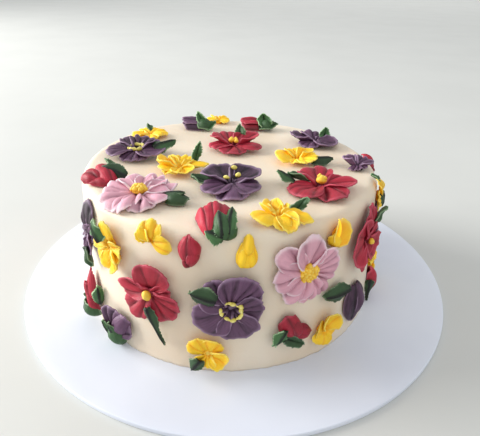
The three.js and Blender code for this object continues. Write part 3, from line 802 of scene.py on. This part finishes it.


# Each kind of flower: its colour, the height of its petals at their root, and its parts
# A tone given to a part here takes the place of its random tone: high values paint light on a lit part and
# low values paint shade on a shaded one. A shade given to a part darkens it all over as painted shade
designs = {
    "pansyRinged": ("purple", 5.4, [
        petal(118, 19, 16, 10, "pleated", shade=0.35, wave=1),
        petal(70, 17, 17, 11, "pleated", shade=0.35, wave=1), petal(345, 21, 24, 6.4, "smooth", folds=4),
        petal(190, 22, 25, 8, "pleated", curl=-45), petal(272, 17, 19, 5, folds=6, curl=-50),
        leaf((12, 1, 6), (26.5, 10, 8.4), 13, lean=15, fold=-0.3), ring(6.6, (20, 150), (205, 325)),
    ]),
    "pansyDark": ("purple", 4.4, [
        petal(139, 20.5, 20, 8.6, "smooth", shade=0.65, scallop=1.4, cup=0.4, curl=5),
        petal(42, 20.5, 19, 8.8, "smooth", shade=0.65, scallop=1.4, cup=0.4, curl=5),
        petal(331, 19.5, 18, 5.8, depth=1.4), petal(275, 20.5, 19, 3.6, depth=2.2, folds=3),
        petal(214, 20.5, 19, 5.4, depth=1.6), leaf((-12, 3, 3), (-25, 6, 5), 10),
        drop((1.2, 12, 8.6), (2.3, 1.5, 1.4), 10), drop((-3.1, 1.4, 6.6), (2.1, 1.2, 1.1), 160),
        drop((4.1, 4.5, 7), (2, 1.5, 1.4), 40),
    ]),
    "pansySide": ("purple", 3.6, [
        petal(85, 13, 20, 7.4, "pleated", wave=1.2), petal(8, 18, 14, 3.8, "smooth", folds=3, curl=-20),
        petal(168, 19, 15, 6.4, "pleated", curl=20), petal(312, 19, 18, 4, "scoop", shade=0.2, folds=3),
        petal(235, 16, 16, 4, "pleated", depth=1.6), leaf((7, 3, 3.6), (9, 8, 11), 8, facing=0, tone=2.4),
    ]),
    "pansyHigh": ("purple", 4.8, [
        petal(128, 21, 18, 6.6, "pleated", wave=1), petal(66, 22, 22, 7, "pleated", wave=1, folds=6),
        petal(0, 17, 17, 7, "pleated", wave=1.2, depth=1.6),
        petal(213, 22, 21, 6.6, "smooth", cup=0.5, curl=-20),
        petal(287, 21, 20, 6.6, "smooth", cup=0.5, curl=-20),
        leaf((-7.5, 8, 8.2), (-20.5, 12, 8), 13, fold=-0.2, tone=-1.2),
        ring(6, (-62, 60), (78, 122), (168, 216), (236, 288)),
    ]),
    "pansyEdge": ("purple", 3.6, [
        petal(90, 21, 12, 3.6, "smooth", cup=0.2, curl=-20, shade=0.7, tone=0), petal(160, 10, 13, 4.5),
        petal(235, 15, 12, 4.5), petal(295, 14, 12, 5.5, "smooth", cup=0.3), petal(20, 10, 11, 5.5),
        leaf((2, -9, 6.4), (4, -22, 4), 9.5),
    ]),
    "redWide": ("red", 3.6, [
        petal(120, 20, 24, 9.6, "pleated", depth=1.6),
        petal(40, 24, 18, 9.4, "pointed", depth=1.6, folds=4), petal(337, 23, 12, 7, "rolled"),
        petal(195, 19, 15, 6), petal(268, 18, 19, 5, folds=3, depth=1.8),
        leaf((5, 11, 4), (4, 17, 14), 8, facing=0), drop((-1.6, 0, 7), (2.2, 2, 2), 0),
        drop((1.4, 1.6, 6.8), (1.8, 1.5, 1.7), 60), drop((1.8, -1.2, 6.6), (1.9, 1.5, 1.6), 130),
    ]),
    "redFour": ("red", 3.6, [
        petal(104, 20, 21, 9.4, cup=0.6),
        petal(5, 22.5, 18, 6.8, "pointed", folds=4, depth=1.6, point=0.5),
        petal(292, 21, 19, 4.4, "looped", curl=-15, depth=2.8),
        petal(212, 23, 24, 5.5, "pleated", curl=-45, depth=1.7),
        leaf((-5, 8, 3.6), (-20, 8.5, 6.8), 11, lean=15),
        leaf((-16, 4, 3), (-26.5, 7.5, 9), 7.5, fold=-0.3, tone=1), drop((0, 0, 6.6), (3.4, 3, 2.4), 20),
        drop((-1.2, 1, 8.4), (1.7, 1.5, 1.5), 80), drop((1.6, -0.8, 7.8), (1.6, 1.3, 1.3), 0),
    ]),
    "redLong": ("red", 3.6, [
        petal(10, 13, 10, 4.4), petal(80, 19, 19, 6.4, "smooth", cup=0.6, curl=-20, wave=1.1),
        petal(234, 23, 14, 5.6, folds=3, point=-0.4),
        petal(177, 20, 15, 6.4, "pointed", cup=1, scallop=1.2),
        petal(322, 20, 18, 6, "pleated", folds=4, wave=1.2),
        leaf((0.5, -7, 7.6), (7.5, -34, 2.2), 8, tail=True, fold=-0.25, ripple=0.03),
        drop((0, 0, 6.2), (3.1, 2.5, 2.2), 100),
    ]),
    "redTall": ("red", 3.6, [
        petal(10, 13, 14, 6), petal(82, 22, 16, 6, "pleated"), petal(318, 16, 16, 6, "smooth"),
        petal(253, 20, 13, 6, "pointed"), petal(165, 19, 26, 6, "smooth"),
        leaf((7, 9, 4), (17, 16, 8.5), 9), drop((0, 0, 6), (2, 1.5, 1.6), 60),
        drop((1.2, -1.6, 5.8), (1.4, 1.2, 1.3), 0),
    ]),
    "pinkWide": ("pink", 3.6, [
        petal(108, 21, 20, 8.5, "pinched", curl=-25, folds=3),
        petal(60, 21, 19, 8.5, "pinched", curl=-25, folds=5),
        petal(14, 22, 16, 8, "pinched", curl=-20, depth=2.4, folds=3),
        petal(335, 20, 16, 6.5, "pleated", curl=-45, folds=3), petal(236, 21, 19, 4.8, "pinched"),
        petal(284, 21, 20, 4.8, "pinched"),
        petal(188, 21, 26, 6, "pleated", folds=6, depth=2.2, tilt=-2.2),
        leaf((14, -3.4, 4), (27, -5.5, 6.6), 7, fold=-0.3, tone=-1.2),
        cup((16.5, -6, 1.2), (29.5, -7, 1.2), 8, 4.4, 90, mouth=0.5, heel=0.5, folds=2, depth=0.8,
            tone=-1),
        mound(radius=4.7, height=2.8, base=5.2, bead=1.6, count=15),
    ]),
    "pinkTall": ("pink", 3.6, [
        petal(89, 22.5, 16, 7, folds=3, depth=1.8, cup=0.5, curl=-10),
        petal(138, 24.5, 14, 6, folds=3, depth=1.4, cup=0.2, curl=-30),
        petal(184, 20.5, 20, 6.5, "pinched", folds=4, curl=-30),
        petal(237, 21.5, 17, 6.5, "pinched", folds=3, curl=-40),
        petal(274, 22.5, 16, 6, "pinched", folds=4), petal(306, 24, 13, 6, "pinched"),
        petal(5, 21, 22, 6.4, "pleated", folds=7, depth=1.7),
        leaf((31, -22.5, 5.2), (11.5, -20.5, 4.6), 11, fold=-0.3, ripple=0.05, tone=-0.6),
        mound(radius=5.8, height=2.2, base=3.8, bead=1.5, count=24),
    ]),
    "yellowHalf": ("yellow", 3.6, [
        petal(180, 15, 15, 4.4), petal(105, 12, 15, 5.4), petal(25, 15, 13, 4.8), petal(300, 12, 14, 4.6),
        leaf((0, 6, 3.4), (-4, 11, 7.6), 4.4),
    ]),
    "yellowEdge": ("yellow", 3.6, [
        petal(95, 13, 12, 5.4), petal(180, 11, 12, 4.6), petal(268, 14, 11, 4.4, "pointed"),
        petal(0, 10, 11, 4.6), leaf((-1, 5, 4), (0, -9, 5), 13, fold=-0.3),
        leaf((0, 10, 4.4), (-2, 16, 5.4), 5), drop((0, 8.5, 4.4), (3.6, 3, 2), 0),
    ]),
    "yellowRim": ("yellow", 3.6, [
        petal(185, 10, 12, 4.4), petal(90, 8, 12, 5), petal(355, 10, 12, 4.2),
    ]),
    "yellowSpoon": ("yellow", 3.6, [
        petal(100, 12, 14, 7.6), petal(38, 15, 10, 8.4, "pointed", cup=1), petal(250, 11, 12, 5),
        petal(172, 16, 21, 7.4, "rolled", cup=-3.6),
        petal(325, 14.5, 17, 7, "pleated", folds=5, curl=-35, depth=1.5),
        leaf((9, -3.5, 3), (24, -3, 4.4), 10, fold=-0.35, ripple=0.03, tone=-1.6),
    ]),
    "yellowPointed": ("yellow", 3.6, [
        petal(85, 12, 14, 8, "pleated", depth=1.4), petal(235, 14, 12, 5),
        petal(5, 19, 10, 6.4, "pointed"), petal(160, 16, 14, 7.4, "looped", curl=30),
        petal(195, 15, 12, 6, "rolled"), petal(290, 13, 14, 4.8, "scoop", cup=1.2, curl=10),
        leaf((9, 6.5, 4.6), (12.5, 9.5, 18), 6, facing=0, tone=1.6),
    ]),
    "yellowCross": ("yellow", 3.6, [
        petal(122, 14, 11, 5.6, "looped", curl=35), petal(90, 12, 10, 5.4, "looped", curl=30),
        petal(45, 12, 9, 5.6), petal(352, 16.5, 9, 6, "pointed", cup=1),
        petal(196, 16.5, 14, 6, "rolled", cup=-3.8), petal(270, 10, 10, 4.4, folds=2),
        petal(306, 11, 10, 4.4, "scoop", cup=0.8), leaf((8, 3, 4), (15, 7.5, 10.4), 8.5, facing=0),
    ]),
    "yellowFive": ("yellow", 3.6, [
        petal(165, 13, 10, 5.2, "looped", curl=20), petal(350, 12, 13, 5.6, "looped", curl=20),
        petal(235, 14, 12, 5.4, "rolled"), petal(93, 16, 10, 6.4, "rolled", cup=-3.4),
        petal(285, 16, 12, 5.6, "looped", curl=20),
        leaf((-3.6, 2, 6.4), (-9.4, 14, 7), 11.5, fold=-0.3, split=0.1, ripple=0.14, tone=2.4),
    ]),
    "yellowPair": ("yellow", 3.6, [
        petal(105, 9, 7, 5.4, "looped", origin=(-6.5, -1), curl=20),
        petal(94, 11.6, 14, 5.8, "pleated", origin=(-3.2, 0.3), folds=3, depth=1.6),
        petal(352, 16.4, 11, 6, "rolled", origin=(-4.5, 1.4), folds=3, depth=1.4, cup=-2.4),
    ]),
    "yellowStack": ("yellow", 3.6, [
        petal(160, 7.5, 12, 5.2, "rolled"), petal(322, 7.5, 11, 5.2, "rolled"),
        petal(250, 10, 15, 6, "rolled", cup=-2.6),
        petal(66, 13, 15, 6.6, "scoop", depth=1.4, curl=25, folds=3),
    ]),
    "yellowFan": ("yellow", 3.6, [
        petal(255, 9, 11, 5.2), petal(335, 11, 12, 5.4, "looped", folds=2, depth=1.6, curl=15),
        petal(68, 12, 12, 6, "rolled", folds=3, depth=1.4),
        petal(132, 14, 12, 6.4, "rolled", folds=3, depth=1.4),
        leaf((-3.5, -1, 7), (-8.5, -10, 5.6), 8, fold=-0.3),
    ]),
    "purplePair": ("purple", 3.6, [
        petal(90, 6, 10, 6, shade=0.4), petal(270, 6, 12, 3),
        petal(142, 11, 13, 8.2, "pointed", folds=5, point=0.5, depth=1.4, tone=1.4),
        petal(22, 10, 13, 6.8, "pointed", folds=5, point=0.3, depth=1.4),
    ]),
    "purpleBud": ("purple", 3.6, [
        shell((9, 0, 1.5), (-11, -1, 2), 13, 5, 100, shade=0.5, mouth=0.6),
        shell((9, 1, 1.5), (-12, 2, 3.6), 10, 7, 60, roll=20, mouth=0.7, folds=2, depth=1),
        shell((9, -2, 1.5), (-11.5, -3, 2), 10, 6, 60, roll=-20, mouth=0.7, folds=2, depth=1),
        leaf((8.4, -5, 1.6), (0.8, 0, 15), 9, facing=0, tone=2.4),
        leaf((7, -6, 2), (16, -1, 6.6), 8, lean=35), cup((12, -2, 1), (0, -2, 2), 13, 7.6, 80, mouth=0.6),
    ]),
    "purpleFan": ("purple", 3.6, [
        petal(60, 18, 22, 6, "pleated", origin=(-5, -7), folds=6),
        shell((-3, -8, 1.5), (7, 9, 2), 12, 5.4, 85, roll=-10, mouth=0.3),
        leaf((-2, -13, 4), (-9, 0, 8), 8, fold=-0.3), leaf((0, -12, 4), (-2, 3, 9), 7, fold=-0.3),
        cup((1, -14.5, 0.8), (-3, -2, 2), 12, 6.4, 80, mouth=0.7),
    ]),
    "purpleLong": ("purple", 3.6, [
        shell((0, 12, 1.2), (0, -17, 1), 20, 5.2, 88, folds=3, depth=1.4, heel=0.3, mouth=0.1,
              middle=0.36, tip=0.8, shade=0.5, rounding=0.6),
        shell((1.5, 11, 1.6), (0, -12, 1.6), 11, 6, 70, roll=25, heel=0.3, mouth=0.2, shade=0.2),
    ]),
    "redBroad": ("red", 3.6, [
        shell((9, 0, 1.5), (-10, -1, 1.6), 14, 4.6, 100, shade=0.5, mouth=0.6),
        shell((9, 1, 1.5), (-11, 3, 3.4), 11, 7, 60, roll=22, mouth=0.6, folds=2, depth=1),
        shell((9, -2, 1.5), (-10, -2, 2), 11, 6.4, 60, roll=-22, mouth=0.6, folds=2, depth=1),
        leaf((10, -5, 3), (7.4, 0, 13.4), 12.5, facing=0, tone=3),
        leaf((4, -6, 3), (20, -3, 5.6), 9, lean=35), cup((15, -2, 1), (5, -2, 2), 12.5, 7, 80, mouth=0.5),
    ]),
    "redSplit": ("red", 3.6, [
        shell((7, -9.5, 1), (-6, -8, 1.2), 7, 4, 88, shade=0.2, mouth=0.5),
        shell((1, -8.5, 1.2), (-8.4, -0.6, 3.2), 10.5, 5.4, 82, mouth=0.75, rounding=2, folds=3,
              depth=1.4, shade=0.1),
        shell((7, -10, 1.2), (-6, 10.6, 4.6), 13, 6.6, 82, heel=0.5, mouth=0.15, middle=0.4, folds=2,
              depth=0.8, tone=1.4),
        leaf((14.5, -3.5, 3.4), (-1, 1, 8.6), 13, lean=-35, fold=-0.25, tone=-1.2),
        leaf((6.7, 2.4, 8), (-1.7, 10, 10.4), 4.4),
    ]),
    "redCupped": ("red", 3.6, [
        shell((1, -8, 1.5), (-1, 12, 2), 19, 4.4, 85, shade=0.6, mouth=0.55, rounding=1.6, middle=0.55),
        shell((4, -8, 1.5), (3.4, 11.4, 2.6), 13, 6.2, 66, roll=-18, mouth=0.5, rounding=1.2, middle=0.6,
              tone=0.2, folds=3, depth=1.2),
        shell((1, -8, 1.5), (-0.6, 13, 3.2), 12, 7, 62, mouth=0.45, rounding=1.2, middle=0.62, tone=1.2,
              folds=3, depth=1.2),
        shell((-1, -9, 1.5), (-6, 9.4, 2.6), 11, 6.6, 70, roll=20, mouth=0.35, rounding=1.4, middle=0.6,
              tone=1.8, folds=2, depth=1.2),
        leaf((5, -9, 4), (-4, -7.2, 4.6), 6.5, fold=-0.3, tone=3),
        leaf((4.6, -8.5, 5), (1.9, -0.8, 8.2), 8, fold=-0.3, tone=1.5),
        leaf((7.4, -8, 4.4), (9.2, 3.8, 8.2), 7, fold=-0.3, tone=3),
        cup((4.2, -9.5, 0.8), (5, -3, 2), 14, 5, 85, mouth=0.7, heel=0.55, folds=3, depth=1.2),
    ]),
    "redTulip": ("red", 3.6, [
        shell((0, -7, 2.5), (-3.6, 9, 4.6), 8.5, 4.6, 85, mouth=0.6, shade=0.15),
        shell((1, -11, 1.5), (-2.6, 18.4, 2.2), 12, 5, 80, mouth=0.15, tip=1.1),
        shell((6, -9, 1.5), (-2, 3, 3), 6, 6.4, 80, mouth=0.4), leaf((-4, -12, 3), (-8, -3, 6.4), 8),
        leaf((7, -3, 2.4), (9, 12, 4.4), 7.5, lean=75, fold=-0.2, tone=3.4),
        cup((0, -15, 0.8), (-1, -4.6, 3), 14, 8, 85, mouth=0.75, heel=0.45, folds=2, depth=1),
    ]),
    "redEgg": ("red", 3.6, [
        shell((0.6, -9, 0.8), (-0.4, 8.6, 0.8), 11.6, 5.6, 92, mouth=0.1, heel=0.1, middle=0.6, tip=0.8,
              depth=0.9, folds=2),
        shell((0.8, -9.6, 0.8), (2.4, 3, 1.6), 7.4, 5.6, 56, roll=-30, mouth=0.1, heel=0.05, middle=0.6),
        shell((0.6, -9.4, 1.4), (-2.6, -3, 1.8), 4, 4.4, 60, roll=20, mouth=0.2, heel=0.1, shade=0.5),
    ]),
    "redTwin": ("red", 3.6, [
        shell((1, -4, 1.2), (-5.4, 11.6, 1.5), 12.5, 5.4, 88, mouth=0.4, rounding=1.7, folds=2,
              depth=0.9),
        shell((3, -4, 1.2), (-1, 8, 2), 8, 6, 60, roll=-25, mouth=0.3, shade=0.4),
        shell((-1, 0, 1.2), (12.6, -5, 1.5), 9.6, 5.8, 85, mouth=0.1, tip=1.2, rounding=0.3, shade=0.3),
        leaf((-6, 4.5, 6.4), (-11.5, -7.5, 4.6), 8, fold=-0.25, split=0.2, tone=3.4),
        leaf((-6, -2, 5), (7, -11.5, 3.6), 7, tone=-0.6),
    ]),
    "redSlim": ("red", 3.6, [
        shell((2, -12.5, 1), (1.5, 8, 1), 12, 6.4, 92, mouth=0.15, heel=0.3, middle=0.6, tone=1.4),
        shell((3, -12.5, 1), (4.5, 5, 1), 8, 6.4, 50, roll=-30, mouth=0.2),
        leaf((-6, 2, 2.8), (-4, -17, 2.2), 8.5, lean=75, tail=True, fold=-0.2),
    ]),
    "yellowBud": ("yellow", 3.6, [
        shell((0, -7.5, 0.9), (0.4, 7, 1.2), 10.8, 4.4, 92, mouth=0.3, heel=0.75, middle=0.25, folds=5,
              depth=1.6),
        shell((0.5, 0, 2.4), (0.9, 8.8, 1.6), 5.6, 4.6, 90, mouth=0.6, heel=0.4),
        shell((-2.6, -7.5, 1.4), (-1.4, 4, 2.6), 5.4, 4.2, 85, mouth=0.2, heel=0.6),
        shell((2.6, -7.8, 1), (1.4, 1, 2.6), 5, 4, 85, mouth=0.2, heel=0.6),
    ]),
    "yellowTulip": ("yellow", 3.6, [
        petal(66, 15.5, 12, 6, "scoop", origin=(-4, -7), shade=0.3, cup=1.2, curl=10, tilt=-1),
        shell((-2.6, -7, 1), (-6, 3, 1.6), 8, 6, 85, mouth=0.4, heel=0.5),
        shell((-4.8, -1, 5), (-2.2, 8, 5), 2.4, 1.8, 85, mouth=0.3, tone=3),
    ]),
}

# Every flower's name, design and place: on the top by x and y from the cake's axis, or on the side by its
# direction round the cake and its height above the board. Then its turn, its size and if it is mirrored
flowers = [
    ("top_pansy_left", "pansyRinged", -66.5, 5.5),
    ("top_primrose_left", "yellowHalf", -64, 46),
    ("top_bud_back", "purpleBud", -30, 70),
    ("top_primrose_back", "yellowRim", -13, 88),
    ("top_blossom_back", "redWide", 1.5, 24),
    ("top_tulip_back", "redBroad", 17, 73),
    ("top_pansy_right", "pansySide", 63.5, 39),
    ("top_primrose_right", "yellowSpoon", 46, 0),
    ("top_blossom_right", "redFour", 56, -44),
    ("top_pansy_front", "pansyDark", 1.5, -45),
    ("top_primrose_centre", "yellowPointed", -32.5, -21),
    ("top_blossom_front", "pinkWide", -51, -61),
    ("top_tulip_left", "redSplit", -77.5, -37),
    ("top_pair_right", "purplePair", 85, -10),
    ("top_primrose_front", "yellowCross", 28, -84),
    ("top_tulip_front", "redCupped", -6, -90),
    ("side_primrose_1", "yellowPair", 249, 80.5, 0, 0.85),
    ("side_primrose_2", "yellowFive", 229.8, 68.5),
    ("side_pansy_1", "pansyEdge", 215.5, 66),
    ("side_tulip_1", "redTulip", 215.5, 21),
    ("side_bud_1", "purpleFan", 231.8, 16),
    ("side_blossom_1", "redLong", 246.3, 49),
    ("side_bud_2", "redEgg", 259.3, 79),
    ("side_pansy_2", "pansyHigh", 272, 46.5),
    ("side_primrose_3", "yellowFan", 265, 14.5),
    ("side_bud_3", "yellowBud", 276.3, 79.5),
    ("side_blossom_2", "pinkTall", 295.6, 63.5),
    ("side_tulip_2", "yellowTulip", 307.5, 80.5, 0, 0.92),
    ("side_blossom_3", "redTall", 324.5, 65),
    ("side_bud_4", "redTwin", 292, 26),
    ("side_primrose_4", "yellowStack", 304.5, 18, 0, 0.95),
    ("side_petal_1", "purpleLong", 320.8, 25),
    ("side_bud_5", "redSlim", 343.5, 16.5),
    ("side_primrose_5", "yellowEdge", 343, 80, 0, 0.8),
    ("side_primrose_6", "yellowRim", 341, 42, 60),
    ("side_tulip_3", "redEgg", 8, 85, -40, 0.85),
    ("side_pansy_3", "pansyHigh", 2, 50, 150, 0.92),
    ("side_primrose_7", "yellowFan", 356, 14, 0, 1, True),
    ("side_primrose_8", "yellowFive", 23, 69, 200, 0.85),
    ("side_blossom_4", "pinkWide", 21, 29, 40, 1, True),
    ("side_blossom_5", "redFour", 45, 61, -25),
    ("side_bud_6", "purpleBud", 43, 15, 35),
    ("side_bud_7", "yellowBud", 65, 78.5, 20, 0.8),
    ("side_pansy_4", "pansyRinged", 67, 42, 80, 0.95),
    ("side_blossom_6", "pinkTall", 89, 60, 180, 0.9),
    ("side_tulip_4", "redTwin", 87, 19, 0, 1, True),
    ("side_bud_8", "redEgg", 109, 78, 30, 0.85),
    ("side_primrose_9", "yellowPointed", 107, 40, 60),
    ("side_pansy_5", "pansyDark", 131, 62, 15, 0.95),
    ("side_primrose_10", "yellowStack", 127, 18, -30),
    ("side_tulip_5", "yellowTulip", 149, 78.5, 0, 0.8, True),
    ("side_blossom_7", "redWide", 151, 47, -50),
    ("side_bud_9", "purpleFan", 146, 14, 0, 1, True),
    ("side_primrose_11", "yellowSpoon", 168, 69, 180),
    ("side_blossom_8", "pinkWide", 169.5, 26.5, 90, 0.9),
    ("side_tulip_6", "redEgg", 113.5, 14, 20, 0.75),
    ("side_primrose_12", "yellowBud", 185, 50, -60, 0.75),
    ("side_bud_10", "redEgg", 55.5, 13.5, -35, 0.75),
]


def makeFlower(name, design, spot):
    colour, shoulder, allParts = design
    purple = colour == "purple"
    lay = layOnCake(spot)
    parts = {"petals": [], "leaves": [], "centre": []}
    for part in allParts:
        parts[part["piece"]].append({**part, "shoulder": shoulder})

    def sheetPiece(kind, look):
        piece = joinAs([addSheet(part, lay, spot["mirror"]) for part in parts[kind]], name + "_" + kind)
        thicken(piece, look, spot["size"])
        return piece

    petals = sheetPiece("petals", petalGrid)
    if parts["petals"][0]["surface"] is petalSurface:
        # A flat heart bead fills the flower's middle, darkened as the painted shade of its hollow, more so in
        # purple flowers
        heart = addBead(lay, (0, 0, 1.0), (4.4, 4.4, 1.2), 0, 0.9 if purple else 0.5)
        petals = joinAs([petals, heart], petals.name)
    dress(petals, name, creamMaterials[colour])
    if parts["leaves"]:
        dress(sheetPiece("leaves", leafGrid), name, creamMaterials["green"])
    if parts["centre"]:
        beads = [bead for part in parts["centre"] for bead in part["makeBeads"](lay, part)]
        beads = joinAs(beads, name + "_centre")
        bpy.ops.object.shade_smooth()
        dress(beads, name, creamMaterials["pansyCentre" if purple else "centre"])


for name, designName, first, second, *changes in flowers:
    spot = {"onTop": name.startswith("top"), "at": (first, second), "turn": 0, "size": 1, "mirror": False}
    spot.update(zip(("turn", "size", "mirror"), changes))
    makeFlower(name, designs[designName], spot)
bpy.data.objects.remove(beadModel)
print("flowers made:", len(flowers))


# Floor, light and camera

def makeFloor():
    table = {
        "size": 12.0,
        "subsurface": (0.0, 0.001),
        "roughness": 0.6,
        "tones": ((0.35, (205, 206, 202)), (0.6, (208, 209, 205))),
        "grain": {"Mottle size": 6.0, "Grain size": 200.0},
    }
    deselectAll()
    bpy.ops.mesh.primitive_plane_add(size=table["size"], calc_uvs=False)
    floor = bpy.context.object
    floor.name = "floor"
    floor.data.materials.append(makePlainMaterial("paleTable", table))


# Each light's place, what it points at, its size and its power
lights = {
    "window": ((-2.3, 0.4, 0.85), (0, 0, 0.05), (1.5, 1.3), 101),
    "fill": ((0.7, -1.6, 1.6), (0, 0, 0.05), (1.6, 1.6), 8.8),
    "farFloor": ((1.2, 4.0, 1.8), (1.2, 4.0, 0), (4.5, 2.4), 26),
}
room = {
    "lightColour": (1.0, 0.99, 0.97),
    "background": (0.80, 0.82, 0.84, 1),
    "strength": 0.81,
    "seenStrength": 0.63,  # what the camera sees past the floor is dimmer than what lights the cake
}


def makeLights():
    for name, (place, target, size, power) in lights.items():
        data = bpy.data.lights.new(name, "AREA")
        data.shape = "RECTANGLE"
        data.size, data.size_y = size
        data.energy = power
        data.color = room["lightColour"]
        light = bpy.data.objects.new(name, data)
        bpy.context.scene.collection.objects.link(light)
        light.location = place
        light.rotation_euler = (Vector(target) - Vector(place)).to_track_quat("-Z", "Y").to_euler()
    world = bpy.data.worlds.new("paleRoom")
    world.use_nodes = True
    background = world.node_tree.nodes["Background"].inputs
    background["Color"].default_value = room["background"]
    strength = addNode(world.node_tree, "ShaderNodeMapRange", {
        "To Min": room["strength"], "To Max": room["seenStrength"],
    })
    rays = world.node_tree.nodes.new("ShaderNodeLightPath")
    world.node_tree.links.new(rays.outputs["Is Camera Ray"], strength.inputs["Value"])
    world.node_tree.links.new(strength.outputs["Result"], background["Strength"])
    bpy.context.scene.world = world
    bpy.context.scene.view_settings.view_transform = "Standard"


view = {
    "place": (2.0 * mm, -314.6 * mm, 215.0 * mm),
    "elevation": 23.8,
    "roll": 1.3,
    "lens": 35.68,
    "shift": -0.0821,
}


def makeCamera():
    data = bpy.data.cameras.new("camera")
    data.lens = view["lens"]
    data.sensor_width = 36
    data.shift_y = view["shift"]
    data.clip_start = 0.01
    camera = bpy.data.objects.new("camera", data)
    bpy.context.scene.collection.objects.link(camera)
    tilt = Matrix.Rotation(math.radians(90 - view["elevation"]), 4, "X")
    roll = Matrix.Rotation(math.radians(view["roll"]), 4, "Z")
    camera.matrix_world = Matrix.Translation(view["place"]) @ tilt @ roll
    bpy.context.scene.camera = camera


makeFloor()
makeLights()
makeCamera()
print("floor, light and camera made")
